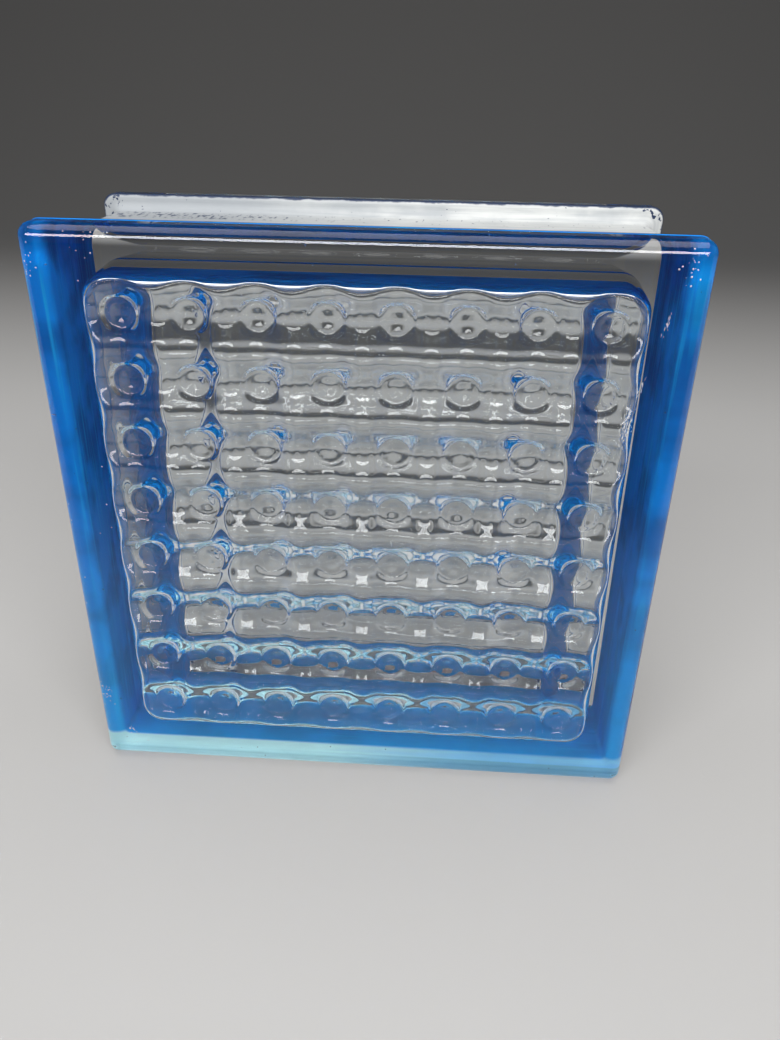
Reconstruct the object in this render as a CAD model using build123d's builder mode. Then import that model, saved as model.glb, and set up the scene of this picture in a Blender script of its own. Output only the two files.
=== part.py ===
"""Hollow glass block for walls: two pressed halves of clear glass, fused at mid-depth.

It stands upright on its two lips. X runs along the width, Z is up, and the front face looks
towards -Y. The origin is the middle of the footprint. All sizes are in millimetres.
"""

import os
from math import atan, degrees, radians, tan

from build123d import *

# Outer size
FACE_WIDTH = 190.0
FACE_HEIGHT = 190.0
BLOCK_DEPTH = 80.0

# The two lips, and the mortar channel between them
FACE_CORNER_RADIUS = 6.0
FACE_EDGE_RADIUS = 5.0
LIP_THICKNESS = 12.0
LIP_BACK_CHAMFER = 1.0
CHANNEL_DEPTH = 5.2
CHANNEL_FOOT_RADIUS = 3.2
CHANNEL_CORNER_RADIUS = 4.0

# The seam where the halves are fused: a low bead inside and out
SEAM_WIDTH = 3.2
SEAM_RISE = 0.4

# The sealed hollow
WALL_THICKNESS = 8.0
PLATE_THICKNESS = 5.2
HOLLOW_DRAFT = 2.0
HOLLOW_CORNER_RADIUS = 8.0
HOLLOW_EDGE_RADIUS = 4.0

# The relief on the inside of each face: low ribs both ways, side by side
RIB_PITCH = 20.0
RIB_RISE = 2.7

half_depth = BLOCK_DEPTH / 2
mid_height = FACE_HEIGHT / 2
seam_reach = SEAM_WIDTH / 2
hollow_reach = half_depth - PLATE_THICKNESS
lip_reach = half_depth - LIP_THICKNESS
seam_taper = degrees(atan(SEAM_RISE / seam_reach))

waist_width = FACE_WIDTH - 2 * CHANNEL_DEPTH
waist_height = FACE_HEIGHT - 2 * CHANNEL_DEPTH
hollow_width = waist_width - 2 * WALL_THICKNESS
hollow_height = waist_height - 2 * WALL_THICKNESS
narrowing = 2 * (hollow_reach - seam_reach) * tan(radians(HOLLOW_DRAFT))
columns = round((hollow_width - narrowing) / RIB_PITCH)
rows = round((hollow_height - narrowing) / RIB_PITCH)

# The halves meet in this upright plane, whose normal points to the front
seam_plane = Plane.XZ.shift_origin((0, 0, mid_height))


# One rib's section, on a foot as deep as the rib is high: a low arch, one pitch wide
with BuildSketch() as rib:
    with BuildLine():
        arch = ThreePointArc((RIB_PITCH / 2, 0), (0, RIB_RISE), (-RIB_PITCH / 2, 0))
        Polyline(arch @ 1, (-RIB_PITCH / 2, -RIB_RISE), (RIB_PITCH / 2, -RIB_RISE), arch @ 0)
    make_face()


# The plunger that presses the front half's hollow: its drafted block, cut with the relief
with BuildPart() as plunger:
    with BuildSketch(seam_plane.offset(seam_reach)):
        RectangleRounded(hollow_width, hollow_height, HOLLOW_CORNER_RADIUS)
    extrude(amount=hollow_reach - seam_reach)
    sides = plunger.faces().filter_by(Axis.Y, reverse=True)
    draft(sides, seam_plane.offset(seam_reach), HOLLOW_DRAFT)
    fillet(plunger.faces().sort_by(Axis.Y)[0].edges(), HOLLOW_EDGE_RADIUS)

    # The bead of fused glass narrows the hollow a little at the seam
    with BuildSketch(seam_plane.offset(seam_reach)):
        RectangleRounded(hollow_width, hollow_height, HOLLOW_CORNER_RADIUS)
    extrude(amount=-seam_reach, taper=seam_taper)

    # Flutes for the upright ribs, then for the level ones
    with BuildSketch(Plane.XY.offset(mid_height)):
        with Locations((0, -hollow_reach)):
            with GridLocations(RIB_PITCH, RIB_PITCH, columns, 1):
                add(rib.sketch)
    extrude(amount=FACE_HEIGHT / 2, both=True, mode=Mode.SUBTRACT)
    with BuildSketch(Plane((0, 0, mid_height), x_dir=(0, 0, 1), z_dir=(-1, 0, 0))):
        with Locations((0, -hollow_reach)):
            with GridLocations(RIB_PITCH, RIB_PITCH, rows, 1):
                add(rib.sketch)
    extrude(amount=FACE_WIDTH / 2, both=True, mode=Mode.SUBTRACT)


with BuildPart() as glass_block:
    # The front lip stands proud of the wall, and the step behind it is one flank of the channel
    with BuildSketch(seam_plane.offset(lip_reach)):
        RectangleRounded(FACE_WIDTH, FACE_HEIGHT, FACE_CORNER_RADIUS)
    extrude(amount=LIP_THICKNESS)
    fillet(glass_block.faces().sort_by(Axis.Y)[0].edges(), FACE_EDGE_RADIUS)
    chamfer(glass_block.faces().sort_by(Axis.Y)[-1].edges(), LIP_BACK_CHAMFER)

    # The wall up to the seam, whose outside is the channel's floor
    with BuildSketch(seam_plane):
        RectangleRounded(waist_width, waist_height, CHANNEL_CORNER_RADIUS)
    extrude(amount=lip_reach)
    step = glass_block.faces().filter_by(Plane.XZ).group_by(Axis.Y)[1]
    fillet(step.face().inner_wires().edges(), CHANNEL_FOOT_RADIUS)

    # The bead of fused glass outside
    with BuildSketch(seam_plane.offset(seam_reach)):
        RectangleRounded(waist_width, waist_height, CHANNEL_CORNER_RADIUS)
    extrude(amount=-seam_reach, taper=-seam_taper)

    # The hollow, and the back half fused to the front one
    add(plunger.part, mode=Mode.SUBTRACT)
    mirror(about=Plane.XZ)

glass_block.part.label = "glass_block"

os.makedirs("parts", exist_ok=True)
export_step(glass_block.part, "parts/glass_block.step")
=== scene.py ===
import math
import random

import bmesh
import bpy
from mathutils import Matrix, Vector, noise


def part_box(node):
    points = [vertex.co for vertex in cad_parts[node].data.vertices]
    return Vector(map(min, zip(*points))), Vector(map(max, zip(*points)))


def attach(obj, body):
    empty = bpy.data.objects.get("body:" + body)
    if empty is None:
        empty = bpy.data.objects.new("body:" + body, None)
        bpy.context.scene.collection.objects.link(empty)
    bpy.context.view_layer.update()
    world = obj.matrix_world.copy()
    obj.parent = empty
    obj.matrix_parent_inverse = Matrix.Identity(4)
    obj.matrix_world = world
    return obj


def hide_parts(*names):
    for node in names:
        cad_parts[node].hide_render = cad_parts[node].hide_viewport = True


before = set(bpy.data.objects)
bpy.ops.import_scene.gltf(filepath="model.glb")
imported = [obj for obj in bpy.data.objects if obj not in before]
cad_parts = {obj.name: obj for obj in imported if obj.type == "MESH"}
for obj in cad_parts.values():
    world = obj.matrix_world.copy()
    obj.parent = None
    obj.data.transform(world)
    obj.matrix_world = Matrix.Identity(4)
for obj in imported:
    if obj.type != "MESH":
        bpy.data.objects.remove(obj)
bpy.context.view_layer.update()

mm = 0.001


# The glass block itself. Two halves are pressed from clear glass and fused at mid-depth into one
# hollow body. Outside it has a proud rim behind each face, and a channel between the rims. Inside,
# both faces carry soft ribs both ways, with a round flat-topped lens where the ribs cross.

low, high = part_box("glass_block")
FACE_HALF = (high[0] - low[0]) / 2
DEPTH_HALF = (high[1] - low[1]) / 2
MID_HEIGHT = (low[2] + high[2]) / 2

FACE_CORNER = 4 * mm
FACE_EDGE = 5 * mm
RIM = 12 * mm
RIM_BACK_EDGE = 1.2 * mm
CHANNEL = 5.2 * mm
CHANNEL_FOOT = 3.2 * mm
CHANNEL_CORNER = 2 * mm
SEAM_REACH = 2.2 * mm
SEAM_RISE = 0.4 * mm

PLATE = 5 * mm
HOLLOW_HALF = 81.8 * mm
HOLLOW_CORNER = 7 * mm
HOLLOW_EDGE = 5.5 * mm
HOLLOW_DRAFT = math.radians(2)

PITCH = 20 * mm
RIB_RISE = 2.75 * mm
LENS_RADIUS = 5 * mm
LENS_FLANK = 1.5 * mm
LENS_TOP = 5.05 * mm
LENS_BEND = 30 * mm
DOT_RADIUS = 2.8 * mm
DOT_RISE = 0.7 * mm
POLISH = 0.5 * mm

WAVE_HEIGHT = 0.05 * mm
WAVES_PER_METRE = 32
WAVE_FADE_POWER = 6

BUBBLES = 60
BUBBLE_RADIUS = (0.1 * mm, 0.28 * mm)
BUBBLE_DEPTH = (2 * mm, 10 * mm)
BUBBLE_SEED = 4

# How finely the glass is divided: its faces and corners, its rounded edges, and the relief
FLAT_MARGIN = 0.6 * mm
FLAT_CORNER = 1 * mm
FACE_STEP = 7 * mm
CORNER_HALF_STEPS = 6
FACE_EDGE_STEPS = 8
RIM_EDGE_STEPS = 4
FOOT_STEPS = 6
OUTER_SEAM_STEPS = 5
HOLLOW_EDGE_STEPS = 8
INNER_SEAM_STEPS = 4
WALL_RING_SHARE = 0.8
HALF_PITCHES = 9
STEPS_PER_HALF_PITCH = 11
RIM_GATHER = 0.35
SMALLEST_GAP = 0.2 * mm

GLASS_TINT = (0.96, 0.985, 0.99, 1)
GLASS_IOR = 1.52


def quarter_turn(count):
    """The angles from 0 to 90 degrees in that many equal steps."""
    return [math.radians(90) * step / count for step in range(count + 1)]


def smooth_max(a, b, blend):
    """The larger of two heights, rounded over where they are nearly the same."""
    return max(a, b) + max(blend - abs(a - b), 0) ** 2 / (4 * blend)


def smooth_step(share):
    """A share from 0 to 1, eased at both ends."""
    share = min(max(share, 0), 1)
    return share * share * (3 - 2 * share)


def relief(x, z):
    """How far the pressed pattern stands into the hollow, from the bottom of its pits."""
    turn = 2 * math.pi / PITCH
    u = (x / PITCH % 1 - 0.5) * PITCH
    v = (z / PITCH % 1 - 0.5) * PITCH
    ribs = RIB_RISE / 2 * (2 + math.cos(turn * u) + math.cos(turn * v))
    radius = math.hypot(u, v)
    dot = DOT_RISE * max(1 - (radius / DOT_RADIUS) ** 2, 0)
    lens = LENS_TOP - radius**2 / (2 * LENS_BEND) + dot
    return ribs + (lens - ribs) * smooth_step((LENS_RADIUS - radius) / LENS_FLANK + 0.5)


def pattern_ticks(flat):
    """Places along a panel's side, as shares of its half length, closest at the lenses' rims."""
    last = HALF_PITCHES * STEPS_PER_HALF_PITCH
    ticks = [-1]
    for step in range(-last, last + 1):
        turns = step / STEPS_PER_HALF_PITCH
        place = PITCH / 2 * (turns + RIM_GATHER * math.sin(2 * math.pi * turns) / (2 * math.pi))
        if abs(place) < flat - SMALLEST_GAP:
            ticks.append(place / flat)
    return ticks


def side_ticks(half, corner, step):
    """Places along one straight side, as shares of its half length, without the last one."""
    count = round(2 * (half - corner) / step)
    return [2 * i / count - 1 for i in range(count)]


def loop_points(half, corner, ticks, corner_steps):
    """Points round a square with round corners, as (x, z) from its middle, anticlockwise."""
    flat = half - corner
    points = []
    for quarter in range(4):
        turn = Matrix.Rotation(math.radians(90) * quarter, 2)
        for tick in ticks:
            points.append(turn @ Vector((half, flat * tick)))
        for angle in quarter_turn(corner_steps)[:-1]:
            x = flat + corner * math.cos(angle)
            z = flat + corner * math.sin(angle)
            points.append(turn @ Vector((x, z)))
    return points


def add_ring(mesh, half, corner, ticks, place, corner_steps=2 * CORNER_HALF_STEPS):
    """A closed ring of vertices, where place gives the depth of each (x, z)."""
    points = loop_points(half, corner, ticks, corner_steps)
    return [mesh.verts.new((x, place(x, z), MID_HEIGHT + z)) for x, z in points]


def level(depth):
    """Gives every (x, z) of a ring the same depth."""
    return lambda x, z: depth


def add_panel(mesh, half, corner, ticks, place):
    """A filled square with round corners, whose border comes back as a ring like add_ring's."""
    flat = half - corner
    rim = [flat + corner * (step + 1) / CORNER_HALF_STEPS for step in range(CORNER_HALF_STEPS)]
    lines = [-value for value in reversed(rim)] + [flat * tick for tick in ticks] + [flat] + rim

    def rounded(x, z):
        over_x = (abs(x) - flat) / corner
        over_z = (abs(z) - flat) / corner
        if over_x <= 0 or over_z <= 0:
            return x, z
        in_x = over_x * math.sqrt(1 - over_z**2 / 2)
        in_z = over_z * math.sqrt(1 - over_x**2 / 2)
        return math.copysign(flat + corner * in_x, x), math.copysign(flat + corner * in_z, z)

    rows = []
    for line_z in lines:
        points = [rounded(line_x, line_z) for line_x in lines]
        rows.append([mesh.verts.new((x, place(x, z), MID_HEIGHT + z)) for x, z in points])
    for below, above in zip(rows, rows[1:]):
        for i in range(len(below) - 1):
            mesh.faces.new((below[i], below[i + 1], above[i + 1], above[i]))
    last = len(rows) - 1
    right = [rows[i][last] for i in range(last)]
    top = [rows[last][last - i] for i in range(last)]
    left = [rows[last - i][0] for i in range(last)]
    bottom = [rows[0][i] for i in range(last)]
    ring = right + top + left + bottom
    return ring[CORNER_HALF_STEPS:] + ring[:CORNER_HALF_STEPS]


def sew(mesh, rings):
    """Joins rings of one length with quads."""
    for first, second in zip(rings, rings[1:]):
        for i in range(len(first)):
            j = (i + 1) % len(first)
            mesh.faces.new((first[i], first[j], second[j], second[i]))


def seam_steps(count):
    """The bead at the seam: (depth, rise) pairs from its foot to the middle of the block."""
    shares = [1 - step / count for step in range(count + 1)]
    return [(SEAM_REACH * share, SEAM_RISE * (1 + math.cos(math.pi * share)) / 2) for share in shares]


def outer_section():
    """From the face's flat to the seam: (inset from the face's outline, corner radius, depth)."""
    points = []
    for angle in quarter_turn(FACE_EDGE_STEPS):
        inset = FACE_EDGE * (1 - math.sin(angle))
        depth = DEPTH_HALF - FACE_EDGE * (1 - math.cos(angle))
        points.append((inset, max(FACE_CORNER - inset, FLAT_CORNER), depth))
    back = DEPTH_HALF - RIM
    points.append((0, FACE_CORNER, back + 2 * RIM_BACK_EDGE))
    for angle in quarter_turn(RIM_EDGE_STEPS):
        inset = RIM_BACK_EDGE * (1 - math.cos(angle))
        depth = back + RIM_BACK_EDGE * (1 - math.sin(angle))
        points.append((inset, FACE_CORNER - inset, depth))
    for angle in quarter_turn(FOOT_STEPS):
        inset = CHANNEL - CHANNEL_FOOT * (1 - math.sin(angle))
        corner = FACE_CORNER + (CHANNEL_CORNER - FACE_CORNER) * inset / CHANNEL
        depth = back - CHANNEL_FOOT * (1 - math.cos(angle))
        points.append((inset, corner, depth))
    for depth, rise in seam_steps(OUTER_SEAM_STEPS):
        points.append((CHANNEL - rise, CHANNEL_CORNER, depth))
    return points


def both_halves(section):
    """The section of the front half, and then that of the back half, mirrored."""
    front = [(*point[:-1], -point[-1]) for point in section]
    return front + list(reversed(section))[1:]


def add_outside(mesh):
    """Both faces, faintly wavy, and the rims and channel between them."""
    flat_half = FACE_HALF - FACE_EDGE - FLAT_MARGIN
    ticks = side_ticks(flat_half, FLAT_CORNER, FACE_STEP)

    def wavy(side):
        def depth(x, z):
            fade = 1 - max(abs(x), abs(z)) ** WAVE_FADE_POWER / flat_half**WAVE_FADE_POWER
            wave = 0.5 + 0.5 * noise.noise(WAVES_PER_METRE * Vector((x, side, z)))
            return side * (DEPTH_HALF - WAVE_HEIGHT * fade * wave)
        return depth

    front = add_panel(mesh, flat_half, FLAT_CORNER, ticks, wavy(-1))
    back = add_panel(mesh, flat_half, FLAT_CORNER, ticks, wavy(1))
    rings = [front]
    for inset, corner, depth in both_halves(outer_section()):
        rings.append(add_ring(mesh, FACE_HALF - inset, corner, ticks, level(depth)))
    rings.append(back)
    sew(mesh, rings)


def add_hollow(mesh):
    """Both pressed panels, the fillets that the relief runs into, and the drafted walls."""
    reach = DEPTH_HALF - PLATE
    lean = math.tan(HOLLOW_DRAFT)
    panel_wall = HOLLOW_HALF - reach * lean
    panel_half = panel_wall - HOLLOW_EDGE
    panel_corner = HOLLOW_CORNER - HOLLOW_EDGE
    ticks = pattern_ticks(panel_half - panel_corner)
    wall_depth = WALL_RING_SHARE * reach
    wall_half = HOLLOW_HALF - wall_depth * lean

    def pressed(side, fillet):
        return lambda x, z: side * (reach - smooth_max(relief(x, z), fillet, POLISH))

    halves = []
    for side in (-1, 1):
        rings = [add_panel(mesh, panel_half, panel_corner, ticks, pressed(side, 0))]
        for angle in quarter_turn(HOLLOW_EDGE_STEPS)[1:]:
            inset = HOLLOW_EDGE * (1 - math.sin(angle))
            fillet = HOLLOW_EDGE * (1 - math.cos(angle))
            corner = HOLLOW_CORNER - inset
            rings.append(add_ring(mesh, panel_wall - inset, corner, ticks, pressed(side, fillet)))
        rings.append(add_ring(mesh, wall_half, HOLLOW_CORNER, ticks, level(side * wall_depth)))
        for depth, rise in seam_steps(INNER_SEAM_STEPS):
            # The ring in the middle of the block belongs to both halves, and is made once
            if side < 0 or depth > 0:
                half = HOLLOW_HALF - rise
                rings.append(add_ring(mesh, half, HOLLOW_CORNER, ticks, level(side * depth)))
        halves.append(rings)
    sew(mesh, halves[0] + list(reversed(halves[1])))


def add_bubbles(mesh):
    """Small bubbles, caught in the thick glass of the rims."""
    chance = random.Random(BUBBLE_SEED)
    for _ in range(BUBBLES):
        turn = Matrix.Rotation(math.radians(90) * chance.randrange(4), 2)
        inset = chance.uniform(*BUBBLE_DEPTH)
        along = chance.uniform(-1, 1) * (FACE_HALF - FACE_CORNER)
        x, z = turn @ Vector((FACE_HALF - inset, along))
        depth = chance.choice((-1, 1)) * (DEPTH_HALF - chance.uniform(*BUBBLE_DEPTH))
        place = Matrix.Translation((x, depth, MID_HEIGHT + z))
        radius = chance.uniform(*BUBBLE_RADIUS)
        bmesh.ops.create_icosphere(mesh, subdivisions=2, radius=radius, matrix=place)


def as_object(name, mesh):
    """Turns the finished mesh into an object of that name, shaded smooth."""
    data = bpy.data.meshes.new(name)
    mesh.to_mesh(data)
    mesh.free()
    data.shade_smooth()
    piece = bpy.data.objects.new(name, data)
    bpy.context.collection.objects.link(piece)
    return piece


def new_finish(name):
    """A material of that name, and its main shader."""
    finish = bpy.data.materials.new(name)
    finish.use_nodes = True
    return finish, finish.node_tree.nodes["Principled BSDF"]


def build_glass():
    mesh = bmesh.new()
    add_outside(mesh)
    outside_count = len(mesh.faces)
    add_hollow(mesh)
    add_bubbles(mesh)

    # The glass lies between the two skins, so the inner one faces the hollow
    bmesh.ops.recalc_face_normals(mesh, faces=mesh.faces)
    mesh.faces.ensure_lookup_table()
    bmesh.ops.reverse_faces(mesh, faces=mesh.faces[outside_count:])
    return as_object("glass_body", mesh)


glass = build_glass()
glass_finish, shader = new_finish("clear_glass")
shader.inputs["Base Color"].default_value = GLASS_TINT
shader.inputs["Roughness"].default_value = 0.0
shader.inputs["IOR"].default_value = GLASS_IOR
shader.inputs["Transmission Weight"].default_value = 1.0
glass.data.materials.append(glass_finish)
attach(glass, "root")
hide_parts("glass_block")


# The paint in the channel. It was brushed on in two coats, blue against the glass and white over
# it, and laps over the back edges of the rims, where the white coat stops short and the blue one
# shows. The white has chips and fine specks worn through it.

PAINT_HALF_THICKNESS = 0.12 * mm
PAINT_LAP = 2 * RIM_BACK_EDGE
LAP_TOLERANCE = 0.01 * mm
PAINT_STEP = 4 * mm
PAINT_CORNER_STEPS = 8

# A NOISE is its waves to a unit and its detail, and the other pairs are where a change starts and
# ends. Places on the block are in metres, and places on the band in millimetres, those across it
# from its nearer edge. A LEVEL is one of a noise or a mask, both of which run from 0 to 1.
NOISE_MIDDLE = 0.5

DEEP = (0.0, 0.16, 0.6, 1)
FULL = (0.001, 0.3, 0.98, 1)
THIN = (0.01, 0.5, 1.0, 1)
# GLOW is painted light: a light cyan standing in for the brighter light on the bottom flanks
GLOW = (0.58, 0.95, 1.0, 1)
DULL_BLUE = (0.15, 0.38, 0.5, 1)
BLUE_ROUGHNESS = 0.45
BLUE_DRAWN_OUT = 0.03
BLUE_STREAK_NOISE = (0.7, 4)
BLUE_STREAK_LEVEL = (0.5, 0.75)
BLUE_STREAK_STRENGTH = 0.7
PATCH_NOISE = (45, 3)
PATCH_LEVEL = (0.35, 0.6)
LOWER_PART = (0.0, 0.12)
LOWER_STRENGTH = 0.55
BLUER_RIGHTWARD = (-35 * mm, 55 * mm)
BOTTOM_SIDE = (5 * mm, 7 * mm)
GLOW_ACROSS = (6.8, 8.4)
GLOW_STRENGTH = 0.8
GLOW_IN_STREAKS = 0.6
GLOW_LOST_RIGHTWARD = 0.65
RIM_FOOT = (1.4 * mm, 2.2 * mm)
DULL_BLUE_STRENGTH = 0.1
DULL_BLUE_RIGHTWARD = 0.6

CLEAN = (0.54, 0.55, 0.54, 1)
GREY = (0.3, 0.32, 0.34, 1)
NAVY = (0.012, 0.026, 0.07, 1)
WHITE_DRAWN_OUT = 0.05
WHITE_STREAK_NOISE = (0.8, 5)
WHITE_STREAK_LEVEL = (0.42, 0.68)
WHITE_STREAK_STRENGTH = 0.55
STAIN_NOISE = (60, 4)
STAIN_LEVEL = (0.35, 0.65)
STAIN_STRENGTH = 0.2
PAINTED_SHADE_ON_FLANK = 0.5
FLANK_START = (2.2, 4)
FLANK_END = (7.5, 9.5)
DIRTY_LEFT = (-60 * mm, 10 * mm)
DIRTY_STRENGTH = 0.9
TOP_SIDE = (150 * mm, 180 * mm)
RAG_NOISE = (300, 3)
RAG_WIDTH = 1.6
BARE_EDGE = (1.9, 2.5)
CORNER_PLACE = (FACE_HALF - 14 * mm, FACE_HALF - 2 * mm)
CORNER_ACROSS = (4, 8)
CHIP_NOISE = (600, 3)
CHIP_LEVEL = (0.735, 0.75)
CHIPS_AT_CORNER = 0.18
FOOT_START = (8.6, 10)
FOOT_END = (17, 24)
NEAR_FOOT_LEVEL = (0.2, 0.4)
STRETCH_NOISE = (0.5, 2)
GRAIN_NOISE = (1.0, 3)
GRAIN_DRAWN_ACROSS = 0.2
GRAIN_LEVEL = (0.66, 0.69)
GRAIN_LEFTWARD = 0.1
GRAIN_IN_STRETCHES = 0.15
WHITE_ROUGHNESS = 0.62
BARE_SMOOTHER = 0.25
MARK_RELIEF = 0.15 * mm
MARK_STRENGTH = 0.5
STREAK_RISE = 0.6
BARE_FALL = 0.8


class Wire:
    """A shader socket that works in Python sums, and from which further nodes are made.

    Without a socket it stands for the whole tree, and only makes nodes.
    """

    def __init__(self, tree, socket=None):
        self.tree = tree
        self.socket = socket

    def node(self, kind, settings, sockets, output=0):
        """Adds a node: first its settings, then the values or links of its sockets."""
        made = self.tree.nodes.new("ShaderNode" + kind)
        for name, value in settings.items():
            setattr(made, name, value)
        for name, value in sockets.items():
            if isinstance(value, Wire):
                self.tree.links.new(value.socket, made.inputs[name])
            else:
                made.inputs[name].default_value = value
        return Wire(self.tree, made.outputs[output])

    def join(self, socket):
        self.tree.links.new(self.socket, socket)

    def maths(self, operation, first, second):
        return self.node("Math", {"operation": operation}, {0: first, 1: second})

    def __add__(self, other):
        return self.maths("ADD", self, other)

    def __radd__(self, other):
        return self.maths("ADD", other, self)

    def __sub__(self, other):
        return self.maths("SUBTRACT", self, other)

    def __rsub__(self, other):
        return self.maths("SUBTRACT", other, self)

    def __mul__(self, other):
        return self.maths("MULTIPLY", self, other)

    def __rmul__(self, other):
        return self.maths("MULTIPLY", other, self)

    def step(self, start, end):
        """A soft step of this value, from 0 at start to 1 at end."""
        return self.node("MapRange", {"interpolation_type": "SMOOTHSTEP"},
                         {"Value": self, "From Min": start, "From Max": end})

    def over(self, under, colour):
        """The first colour where this value is 0, and the second where it is 1."""
        return self.node("Mix", {"data_type": "RGBA"}, {0: self, 6: under, 7: colour}, output=2)

    def spots(self, per_unit, detail):
        """Noise from about 0 to 1, with that many waves to each unit of this place."""
        return self.node("TexNoise", {}, {"Vector": self, "Scale": per_unit, "Detail": detail})


def moved_off(section, distance):
    """The same section, moved out of the glass square to itself."""
    moved = []
    for i, (inset, corner, depth) in enumerate(section):
        before = section[max(i - 1, 0)]
        after = section[min(i + 1, len(section) - 1)]
        along = Vector((after[0] - before[0], after[2] - before[2])).normalized()
        outward = distance * along.y
        moved.append((inset - outward, corner + outward, depth + distance * along.x))
    return moved


def run_lengths(points):
    """How far along a line each of its points lies."""
    lengths = [0.0]
    for first, second in zip(points, points[1:]):
        lengths.append(lengths[-1] + (second - first).length)
    return lengths


# The part of the outer section that is painted, and its width
paint_reach = DEPTH_HALF - RIM + PAINT_LAP + LAP_TOLERANCE
band = [point for point in both_halves(outer_section()) if abs(point[2]) <= paint_reach]
band_lengths = run_lengths([Vector((inset, depth)) for inset, _, depth in band])
BAND_WIDTH = band_lengths[-1]


def build_paint():
    mesh = bmesh.new()
    band_map = mesh.loops.layers.uv.new("band")
    ticks = side_ticks(FACE_HALF, FACE_CORNER, PAINT_STEP)
    outer_skin = moved_off(band, PAINT_HALF_THICKNESS)
    inner_skin = moved_off(band, -PAINT_HALF_THICKNESS)
    rings = []
    for inset, corner, depth in outer_skin + list(reversed(inner_skin)):
        half = FACE_HALF - inset
        rings.append(add_ring(mesh, half, corner, ticks, level(depth), PAINT_CORNER_STEPS))
    rings.append(rings[0])
    sew(mesh, rings)
    bmesh.ops.recalc_face_normals(mesh, faces=mesh.faces)

    # The map runs along the band and across it, in millimetres; both skins share it
    outline = loop_points(FACE_HALF, FACE_CORNER, ticks, PAINT_CORNER_STEPS)
    along = run_lengths(outline + outline[:1])
    across = band_lengths + list(reversed(band_lengths))
    place = {}
    for ring, width in zip(rings[:-1], across):
        for vertex, length in zip(ring, along):
            place[vertex] = (length / mm, width / mm)

    # The outer skin is the white coat and the inner one the blue coat
    outside = (len(band) - 1) * len(outline)
    for index, face in enumerate(mesh.faces):
        face.material_index = 0 if index < outside else 1
        last_of_ring = index % len(outline) == len(outline) - 1
        for loop in face.loops:
            length, width = place[loop.vert]
            if last_of_ring and length == 0:
                length = along[-1] / mm
            loop[band_map].uv = (length, width)
    return as_object("channel_paint", mesh)


def band_place(tree):
    """Where a point lies along the band and across it, and how far from its nearer edge, in mm."""
    band_map = tree.node("UVMap", {"uv_map": "band"}, {})
    along = tree.node("SeparateXYZ", {}, {"Vector": band_map}, output="X")
    across = tree.node("SeparateXYZ", {}, {"Vector": band_map}, output="Y")
    from_edge = tree.maths("MINIMUM", across, BAND_WIDTH / mm - across)
    return along, across, from_edge


def block_place(tree):
    """Where a point lies on the block: its whole place, how far to the right, and how high."""
    place = tree.node("NewGeometry", {}, {}, output="Position")
    rightward = tree.node("SeparateXYZ", {}, {"Vector": place}, output="X")
    height = tree.node("SeparateXYZ", {}, {"Vector": place}, output="Z")
    return place, rightward, height


def blue_coat():
    coat, shader = new_finish("blue_coat")
    shader.inputs["Roughness"].default_value = BLUE_ROUGHNESS
    shader.inputs["Specular IOR Level"].default_value = 0.0
    tree = Wire(coat.node_tree)
    along, across, from_edge = band_place(tree)
    place, rightward, height = block_place(tree)

    # Thick and thin patches, with streaks drawn out along the brush, and a lighter blue towards the
    # bottom
    strokes = tree.node("CombineXYZ", {}, {"X": along * BLUE_DRAWN_OUT, "Y": across})
    streaks = strokes.spots(*BLUE_STREAK_NOISE)
    patches = place.spots(*PATCH_NOISE)
    colour = patches.step(*PATCH_LEVEL).over(DEEP, FULL)
    colour = (streaks.step(*BLUE_STREAK_LEVEL) * BLUE_STREAK_STRENGTH).over(colour, THIN)
    colour = (LOWER_STRENGTH * (1 - height.step(*LOWER_PART))).over(colour, THIN)

    # On the flanks of the bottom side the blue turns light cyan: a painted glow for the stronger
    # light that reaches them there, patchy along the streaks and fainter to the right
    more_blue = rightward.step(*BLUER_RIGHTWARD)
    on_bottom_flank = (1 - height.step(*BOTTOM_SIDE)) * (1 - from_edge.step(*GLOW_ACROSS))
    bare_and_painted_glow = on_bottom_flank * (1 - GLOW_LOST_RIGHTWARD * more_blue)
    bare_and_painted_glow = bare_and_painted_glow * (GLOW_STRENGTH + GLOW_IN_STREAKS * streaks)
    colour = bare_and_painted_glow.over(colour, GLOW)

    # At the very foot the blue is duller and greyer, and more so on the right
    under = (1 - height.step(*RIM_FOOT)) * (DULL_BLUE_STRENGTH + DULL_BLUE_RIGHTWARD * more_blue)
    under.over(colour, DULL_BLUE).join(shader.inputs["Base Color"])
    return coat


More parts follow.
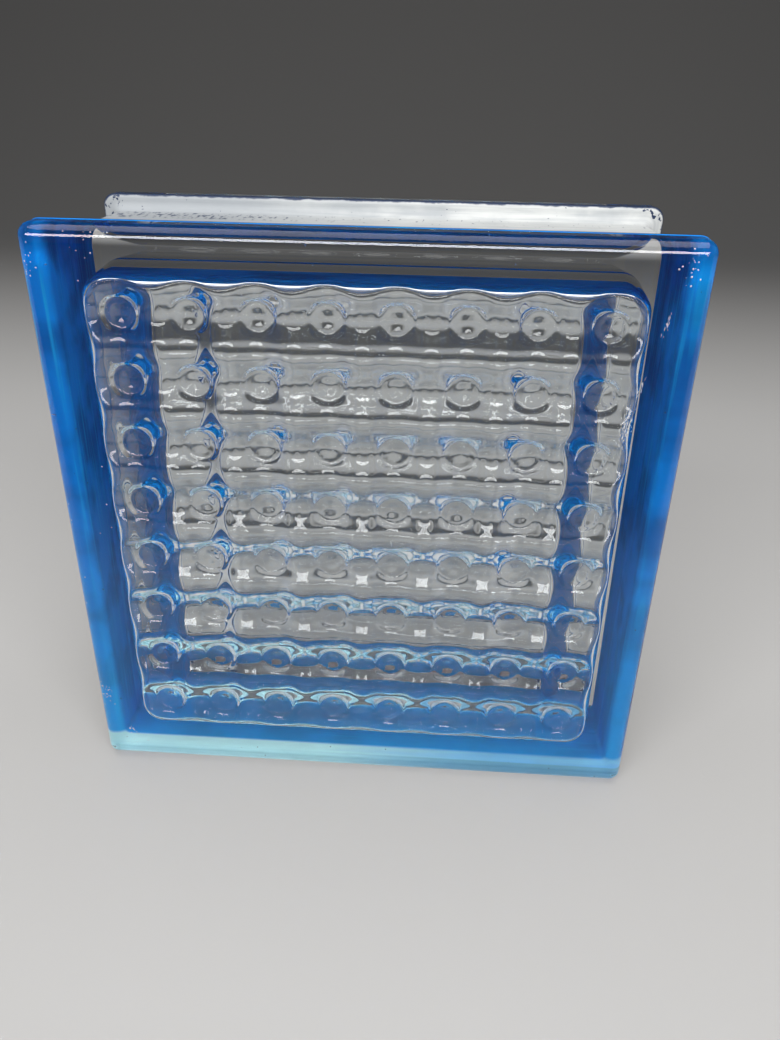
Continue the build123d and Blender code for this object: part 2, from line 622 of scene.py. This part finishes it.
def white_coat():
    coat, shader = new_finish("white_coat")
    tree = Wire(coat.node_tree)
    along, across, from_edge = band_place(tree)
    place, rightward, height = block_place(tree)

    # Grey streaks along the brush, stains, painted darker on the flanks and in the fillet at the foot
    # as painted shade in that crease, and dirt on the left of the top side
    strokes = tree.node("CombineXYZ", {}, {"X": along * WHITE_DRAWN_OUT, "Y": across})
    streaks = strokes.spots(*WHITE_STREAK_NOISE)
    colour = (streaks.step(*WHITE_STREAK_LEVEL) * WHITE_STREAK_STRENGTH).over(CLEAN, GREY)
    on_flank = from_edge.step(*FLANK_START) * (1 - from_edge.step(*FLANK_END))
    stains = place.spots(*STAIN_NOISE).step(*STAIN_LEVEL)
    # Painted shade: the stains are made stronger over the flanks and the foot's fillet
    colour = (stains * (STAIN_STRENGTH + PAINTED_SHADE_ON_FLANK * on_flank)).over(colour, GREY)
    leftward = (1 - rightward.step(*DIRTY_LEFT)) * height.step(*TOP_SIDE)
    colour = (DIRTY_STRENGTH * leftward).over(colour, GREY)

    # Bare spots: a thin line along the rims' edges, and chips, which are densest at the corners
    ragged = place.spots(*RAG_NOISE)
    bare_edge = 1 - (from_edge + RAG_WIDTH * (ragged - NOISE_MIDDLE)).step(*BARE_EDGE)
    far_out = tree.maths("ABSOLUTE", rightward, 0).step(*CORNER_PLACE)
    far_up = tree.maths("ABSOLUTE", height - MID_HEIGHT, 0).step(*CORNER_PLACE)
    at_corner = far_out * far_up * (1 - from_edge.step(*CORNER_ACROSS))
    chips = (place.spots(*CHIP_NOISE) + CHIPS_AT_CORNER * at_corner).step(*CHIP_LEVEL)

    # Rows of short dark strokes on the channel's floor by the foot, thickest on the left
    near_foot = from_edge.step(*FOOT_START) * (1 - from_edge.step(*FOOT_END))
    stretches = GRAIN_IN_STRETCHES * (strokes.spots(*STRETCH_NOISE) - NOISE_MIDDLE)
    grain_place = tree.node("CombineXYZ", {}, {"X": along, "Y": across * GRAIN_DRAWN_ACROSS})
    grain = grain_place.spots(*GRAIN_NOISE) + GRAIN_LEFTWARD * leftward + stretches
    specks = grain.step(*GRAIN_LEVEL) * near_foot.step(*NEAR_FOOT_LEVEL)
    bare_and_painted_glow = tree.maths("MAXIMUM", tree.maths("MAXIMUM", bare_edge, chips), specks)
    bare_and_painted_glow.over(colour, NAVY).join(shader.inputs["Base Color"])
    (WHITE_ROUGHNESS - BARE_SMOOTHER * bare_and_painted_glow).join(shader.inputs["Roughness"])

    # The brush marks stand up a little, and the bare spots lie lower
    marks = streaks * STREAK_RISE - bare_and_painted_glow * BARE_FALL
    bump = {"Strength": MARK_STRENGTH, "Distance": MARK_RELIEF, "Height": marks}
    tree.node("Bump", {}, bump).join(shader.inputs["Normal"])
    return coat


paint = build_paint()
paint.data.materials.append(white_coat())
paint.data.materials.append(blue_coat())
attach(paint, "root")


# Specks of the same white paint that have spattered the front, and a scuffed patch beside the
# panel, where something hard has rubbed the face. The specks are thin dried drops, and the scuff
# is a bundle of short pale scratches.

# For each cluster of specks, in millimetres: its middle's x and z, its spread, and how many. It is
# half again as tall as it is wide
SPATTER = (
    (-91, 30, 5, 26),
    (-84, 12, 6, 12),
    (-92, 179, 5, 14),
    (-75, 187, 9, 14),
    (88, 183, 6, 18),
    (-90, 100, 40, 16),
)
SPATTER_SEED = 7
SPATTER_MARGIN = 2 * mm
SPECK_RADIUS = (0.16 * mm, 0.42 * mm)
SPECK_SIZE_SHARE = (0.5, 1)
SPECK_WIDTH_SHARE = (0.6, 1)
SPECK_RISE = 0.06 * mm

# How far over the rounded edges a speck may lie, and how little its surface may face forward there
EDGE_SHARE = 0.97
LEAST_FORWARD_SQUARED = 0.02

# For each scuff, in millimetres: its middle's x and z, its width and height, and how many scratches
SCUFFS = (
    (76.5, 137, 1.5, 5.5, 90),
    (83.5, 168, 0.7, 3, 16),
    (79.5, 150, 0.8, 4, 14),
)
SCUFF_LENGTH = (0.4 * mm, 1.8 * mm)
SCUFF_WIDTH = (0.04 * mm, 0.09 * mm)
SCUFF_TILT = math.radians(5)
SCUFF_TILT_SPREAD = 0.14

SPLASH = (0.7, 0.73, 0.76, 1)
DUSTY = (0.55, 0.6, 0.66, 1)
DUST_NOISE = (900, 2)
DUST_LEVEL = (0.4, 0.65)
SPATTER_ROUGHNESS = 0.5
DUSTY_ROUGHER = 0.25


def face_place(x, z):
    """The point on the front, rounded edges too, in front of (x, z), with its outward direction."""
    tilt = []
    for away in (x, z - MID_HEIGHT):
        over = min(max(abs(away) - (FACE_HALF - FACE_EDGE), 0), EDGE_SHARE * FACE_EDGE)
        tilt.append(math.copysign(over / FACE_EDGE, away))
    forward = math.sqrt(max(1 - tilt[0] ** 2 - tilt[1] ** 2, LEAST_FORWARD_SQUARED))
    normal = Vector((tilt[0], -forward, tilt[1])).normalized()
    return Vector((x, -(DEPTH_HALF - FACE_EDGE * (1 - forward)), z)), normal


def add_blob(mesh, place, turn, spin, sizes):
    """A small round blob with those half sizes, spun on its own axis and then turned to the face."""
    shape = Matrix.Diagonal((*sizes, 1))
    matrix = Matrix.Translation(place) @ turn @ Matrix.Rotation(spin, 4, "Z") @ shape
    bmesh.ops.create_icosphere(mesh, subdivisions=1, radius=1, matrix=matrix)


def build_spatter():
    mesh = bmesh.new()
    chance = random.Random(SPATTER_SEED)
    for middle_x, middle_z, spread, count in SPATTER:
        for _ in range(count):
            x = (middle_x + chance.gauss(0, spread / 3)) * mm
            z = (middle_z + chance.gauss(0, spread / 2)) * mm
            x = min(max(x, SPATTER_MARGIN - FACE_HALF), FACE_HALF - SPATTER_MARGIN)
            z = min(max(z, SPATTER_MARGIN), 2 * MID_HEIGHT - SPATTER_MARGIN)
            place, normal = face_place(x, z)
            turn = normal.to_track_quat("Z", "Y").to_matrix().to_4x4()
            radius = chance.uniform(*SPECK_RADIUS) * chance.uniform(*SPECK_SIZE_SHARE)
            sizes = (radius, radius * chance.uniform(*SPECK_WIDTH_SHARE), SPECK_RISE)
            add_blob(mesh, place, turn, chance.uniform(0, math.pi), sizes)

    # The scuffs lie on the flat of the face
    to_face = Matrix.Rotation(math.radians(90), 4, "X")
    for middle_x, middle_z, wide, tall, count in SCUFFS:
        for _ in range(count):
            up = chance.gauss(0, tall / 2)
            x = (middle_x + up * math.tan(SCUFF_TILT) + chance.gauss(0, wide / 2)) * mm
            place = Vector((x, -DEPTH_HALF, (middle_z + up) * mm))
            width = chance.uniform(*SCUFF_WIDTH)
            sizes = (width, chance.uniform(*SCUFF_LENGTH) / 2, SPECK_RISE / 2)
            spin = -SCUFF_TILT + chance.gauss(0, SCUFF_TILT_SPREAD)
            add_blob(mesh, place, to_face, spin, sizes)
    return as_object("paint_spatter", mesh)


spatter = build_spatter()
spatter_finish, shader = new_finish("spatter")
tree = Wire(spatter_finish.node_tree)
dust = tree.node("NewGeometry", {}, {}, output="Position").spots(*DUST_NOISE)
dust.step(*DUST_LEVEL).over(SPLASH, DUSTY).join(shader.inputs["Base Color"])
(SPATTER_ROUGHNESS + DUSTY_ROUGHER * dust).join(shader.inputs["Roughness"])
spatter.data.materials.append(spatter_finish)
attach(spatter, "root")


# The studio: a matt pale sweep of card that is floor and backdrop in one, with a long softbox in
# front and a wide one overhead. In front of the block the card is painted dark, a painted shadow, so
# that the block's face mirrors less of it, and behind the block it is painted darker as painted
# shade, so that less of it shows through the glass.

# In metres. The floor lies just clear of the paint, which reaches a little below the block
SWEEP_WIDTH = 8
SWEEP_FRONT = -3
SWEEP_BACK = 2.5
SWEEP_BEND = 1.5
SWEEP_TOP = 4
SWEEP_BEND_STEPS = 16
FLOOR_DROP = 0.2 * mm

PALE = (0.42, 0.413, 0.405, 1)
# Painted shadow in front of the block and painted shade behind it, and where each begins and ends
PAINTED_SHADOW_FRONT = (0.07, 0.07, 0.07, 1)
PAINTED_SHADOW_FRONT_PLACE = (-0.3, -0.14)
PAINTED_SHADE_BACK = (0.1, 0.098, 0.096, 1)
PAINTED_SHADE_BACK_PLACE = (0.15, 1.1)
SWEEP_ROUGHNESS = 0.9

WORLD_COLOUR = (1, 1, 1, 1)
WORLD_STRENGTH = 0.2
FRONT_SIZE = (2.4, 0.36)
FRONT_WATTS = 37
FRONT_REACH = 1.5
FRONT_RISE = math.radians(40)
FRONT_TARGET = Vector((0, 0, 0.1))
TOP_SIZE = (2, 1.4)
TOP_WATTS = 18
TOP_PLACE = Vector((0, 0.1, 1.9))

# The camera stands a little to the right, looks down on the block, and leans by a degree
CAMERA_PLACE = Vector((0.02174, -0.26808, 0.2245))
CAMERA_TURN = math.radians(3.108)
CAMERA_DIP = math.radians(27.657)
CAMERA_ROLL = math.radians(1.0777)
LENS_MM = 28.73
SENSOR_MM = 36
NEAREST_SEEN = 0.01
LIGHT_BOUNCES = 24

sweep_line = [(SWEEP_FRONT, -FLOOR_DROP)]
for angle in quarter_turn(SWEEP_BEND_STEPS):
    y = SWEEP_BACK + SWEEP_BEND * (math.sin(angle) - 1)
    z = SWEEP_BEND * (1 - math.cos(angle)) - FLOOR_DROP
    sweep_line.append((y, z))
sweep_line.append((SWEEP_BACK, SWEEP_TOP))
sweep_points = [(x, y, z) for y, z in sweep_line for x in (-SWEEP_WIDTH / 2, SWEEP_WIDTH / 2)]
sweep_faces = [(2 * i, 2 * i + 1, 2 * i + 3, 2 * i + 2) for i in range(len(sweep_line) - 1)]
sweep_data = bpy.data.meshes.new("sweep")
sweep_data.from_pydata(sweep_points, [], sweep_faces)
sweep_data.shade_smooth()
sweep = bpy.data.objects.new("sweep", sweep_data)
bpy.context.collection.objects.link(sweep)

sweep_finish, shader = new_finish("sweep")
shader.inputs["Roughness"].default_value = SWEEP_ROUGHNESS
tree = Wire(sweep_finish.node_tree)
place = tree.node("NewGeometry", {}, {}, output="Position")
backward = tree.node("SeparateXYZ", {}, {"Vector": place}, output="Y")
# Painted shadow in front of the block and painted shade behind it, in the card's colour
floor_colour = backward.step(*PAINTED_SHADOW_FRONT_PLACE).over(PAINTED_SHADOW_FRONT, PALE)
backward.step(*PAINTED_SHADE_BACK_PLACE).over(floor_colour, PAINTED_SHADE_BACK).join(shader.inputs["Base Color"])
sweep_data.materials.append(sweep_finish)

world = bpy.data.worlds.new("studio")
world.use_nodes = True
background = world.node_tree.nodes["Background"]
background.inputs["Color"].default_value = WORLD_COLOUR
background.inputs["Strength"].default_value = WORLD_STRENGTH
bpy.context.scene.world = world


def add_softbox(name, size, watts, place):
    """A rectangular soft lamp that shines straight down until it is turned."""
    data = bpy.data.lights.new(name, "AREA")
    data.shape = "RECTANGLE"
    data.size, data.size_y = size
    data.energy = watts
    lamp = bpy.data.objects.new(name, data)
    lamp.location = place
    bpy.context.collection.objects.link(lamp)
    return lamp


front_place = FRONT_TARGET + FRONT_REACH * Vector((0, -math.cos(FRONT_RISE), math.sin(FRONT_RISE)))
front_lamp = add_softbox("softbox", FRONT_SIZE, FRONT_WATTS, front_place)
front_lamp.rotation_euler = (FRONT_TARGET - front_place).to_track_quat("-Z", "Y").to_euler()
add_softbox("top_softbox", TOP_SIZE, TOP_WATTS, TOP_PLACE)

camera_data = bpy.data.cameras.new("camera")
camera_data.sensor_width = SENSOR_MM
camera_data.lens = LENS_MM
camera_data.clip_start = NEAREST_SEEN
camera = bpy.data.objects.new("camera", camera_data)
aim = Matrix.Rotation(CAMERA_TURN, 4, "Z") @ Matrix.Rotation(math.radians(90) - CAMERA_DIP, 4, "X")
camera.matrix_world = Matrix.Translation(CAMERA_PLACE) @ aim @ Matrix.Rotation(CAMERA_ROLL, 4, "Z")
bpy.context.collection.objects.link(camera)

scene = bpy.context.scene
scene.camera = camera
scene.view_settings.view_transform = "Standard"
scene.cycles.max_bounces = LIGHT_BOUNCES
scene.cycles.transmission_bounces = LIGHT_BOUNCES
scene.cycles.glossy_bounces = LIGHT_BOUNCES
